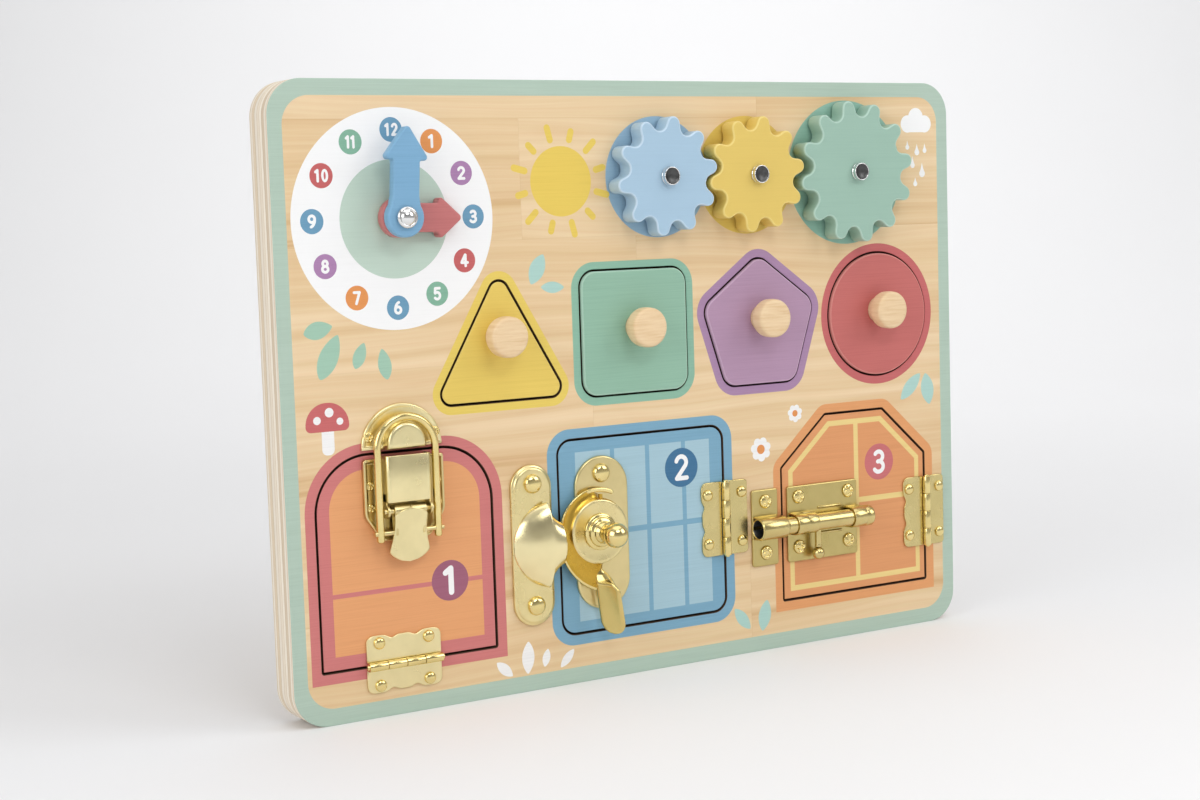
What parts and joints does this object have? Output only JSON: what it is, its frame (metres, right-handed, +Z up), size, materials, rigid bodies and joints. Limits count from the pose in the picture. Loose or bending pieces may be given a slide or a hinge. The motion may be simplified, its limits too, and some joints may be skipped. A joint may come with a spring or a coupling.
{
  "type": "wooden busy board",
  "caption": "Upright wooden activity board with a clock, meshing gears, lift-out shape pieces and small hinged doors with metal latches.",
  "frame": {"origin": "middle of the bottom of the whole part's box, under the board standing on its long edge", "axes": "+X to the right across the face, +Z up the face, the decorated face looks towards -Y"},
  "size_m": [0.4, 0.05, 0.3],
  "materials": {
    "wood_natural": "clear matt lacquer",
    "wood_ply": "sanded plywood",
    "paint_sky": "matt painted",
    "paint_sun": "matt painted",
    "paint_sage": "matt painted",
    "paint_lilac": "matt painted",
    "paint_red": "matt painted",
    "paint_denim": "matt painted",
    "paint_orange": "matt painted",
    "brass": "satin plated",
    "chrome": "bright domed"
  },
  "bodies": {
    "board": {"back_panel": "wood_ply", "core_panel": "wood_ply", "front_panel": "wood_natural", "clock_pivot": "chrome", "clock_washers": "wood_ply", "clock_cap": "chrome", "gear_spacers": "wood_ply", "gear_axles": "chrome", "hinge_1_frame_leaf": "brass", "hinge_1_pin": "brass", "hinge_2_frame_leaf": "brass", "hinge_2_pin": "brass", "hinge_3_frame_leaf": "brass", "hinge_3_pin": "brass", "hinge_screws_frame": "brass", "latch_catch_plate": "brass", "latch_catch_screws": "brass", "sash_keeper": "brass", "sash_keeper_screws": "brass", "bolt_keeper": "brass", "bolt_keeper_screws": "brass"},
    "hour": {"hour_hand": "paint_red"},
    "minute": {"minute_hand": "paint_denim"},
    "blue_gear": {"gear_blue": "paint_sky"},
    "yellow_gear": {"gear_yellow": "paint_sun"},
    "green_gear": {"gear_green": "paint_sage"},
    "triangle": {"piece_triangle": "paint_sun", "knob_triangle": "wood_natural"},
    "square": {"piece_square": "paint_sage", "knob_square": "wood_natural"},
    "pentagon": {"piece_pentagon": "paint_lilac", "knob_pentagon": "wood_natural"},
    "disc": {"piece_circle": "paint_red", "knob_circle": "wood_natural"},
    "door_one": {"door_1": "paint_orange", "hinge_1_door_leaf": "brass", "hinge_screws_door_1": "brass", "latch_base": "brass", "latch_base_screws": "brass", "latch_pivot_pin": "brass"},
    "lever": {"latch_lever": "brass", "latch_bail_pin": "brass"},
    "bail": {"latch_bail": "brass"},
    "door_two": {"door_2": "paint_denim", "hinge_2_door_leaf": "brass", "hinge_screws_door_2": "brass", "sash_base": "brass", "sash_base_screws": "brass", "sash_pivot": "brass"},
    "cam": {"sash_cam": "brass", "sash_knob": "brass"},
    "door_three": {"door_3": "paint_orange", "hinge_3_door_leaf": "brass", "hinge_screws_door_3": "brass", "bolt_plate": "brass", "bolt_plate_screws": "brass"},
    "bolt": {"bolt_bar": "brass"}
  },
  "joints": [
    {"name": "hour_turn", "type": "hinge", "parent": "board", "child": "hour", "pos_m": [-0.1391, -0.001, 0.2356], "axis": [0, 1, 0], "continuous": true},
    {"name": "minute_turn", "type": "hinge", "parent": "board", "child": "minute", "pos_m": [-0.1391, -0.007, 0.2356], "axis": [0, 1, 0], "continuous": true},
    {"name": "green_turn", "type": "hinge", "parent": "board", "child": "green_gear", "pos_m": [0.1281, -0.003, 0.2522], "axis": [0, -1, 0], "continuous": true},
    {"name": "yellow_turn", "type": "hinge", "parent": "board", "child": "yellow_gear", "pos_m": [0.0627, -0.003, 0.252], "axis": [0, -1, 0], "continuous": true},
    {"name": "blue_turn", "type": "hinge", "parent": "board", "child": "blue_gear", "pos_m": [0.00765, -0.003, 0.252], "axis": [0, -1, 0], "continuous": true},
    {"name": "triangle_lift", "type": "slide", "parent": "board", "child": "triangle", "axis": [0, -1, 0], "range_m": [0, 0.015]},
    {"name": "square_lift", "type": "slide", "parent": "board", "child": "square", "axis": [0, -1, 0], "range_m": [0, 0.015]},
    {"name": "pentagon_lift", "type": "slide", "parent": "board", "child": "pentagon", "axis": [0, -1, 0], "range_m": [0, 0.015]},
    {"name": "disc_lift", "type": "slide", "parent": "board", "child": "disc", "axis": [0, -1, 0], "range_m": [0, 0.015]},
    {"name": "door_one_hinge", "type": "hinge", "parent": "board", "child": "door_one", "pos_m": [-0.1438, 0.0006, 0.0253], "axis": [1, 0, 0], "range_deg": [0, 90]},
    {"name": "lever_turn", "type": "hinge", "parent": "door_one", "child": "lever", "pos_m": [-0.1406, -0.0026, 0.0986], "axis": [-1, 0, 0], "range_deg": [0, 100]},
    {"name": "bail_turn", "type": "hinge", "parent": "lever", "child": "bail", "pos_m": [-0.1406, -0.0026, 0.0885], "axis": [-1, 0, 0], "range_deg": [-100, 0]},
    {"name": "door_two_hinge", "type": "hinge", "parent": "board", "child": "door_two", "pos_m": [0.0433, 0.0006, 0.074], "axis": [0, 0, 1], "range_deg": [0, 110]},
    {"name": "cam_turn", "type": "hinge", "parent": "door_two", "child": "cam", "pos_m": [-0.0365, -0.001, 0.0765], "axis": [0, -1, 0], "range_deg": [-30, 90]},
    {"name": "door_three_hinge", "type": "hinge", "parent": "board", "child": "door_three", "pos_m": [0.1793, 0.0006, 0.0636], "axis": [0, 0, 1], "range_deg": [0, 110]},
    {"name": "bolt_slide", "type": "slide", "parent": "door_three", "child": "bolt", "axis": [1, 0, 0], "range_m": [-0.0055, 0.013]}
  ],
  "couplings": [
    {"joint": "yellow_turn", "follows": "green_turn", "ratio": -1.2},
    {"joint": "blue_turn", "follows": "green_turn", "ratio": 1.2},
    {"joint": "bail_turn", "follows": "lever_turn", "ratio": -1}
  ]
}
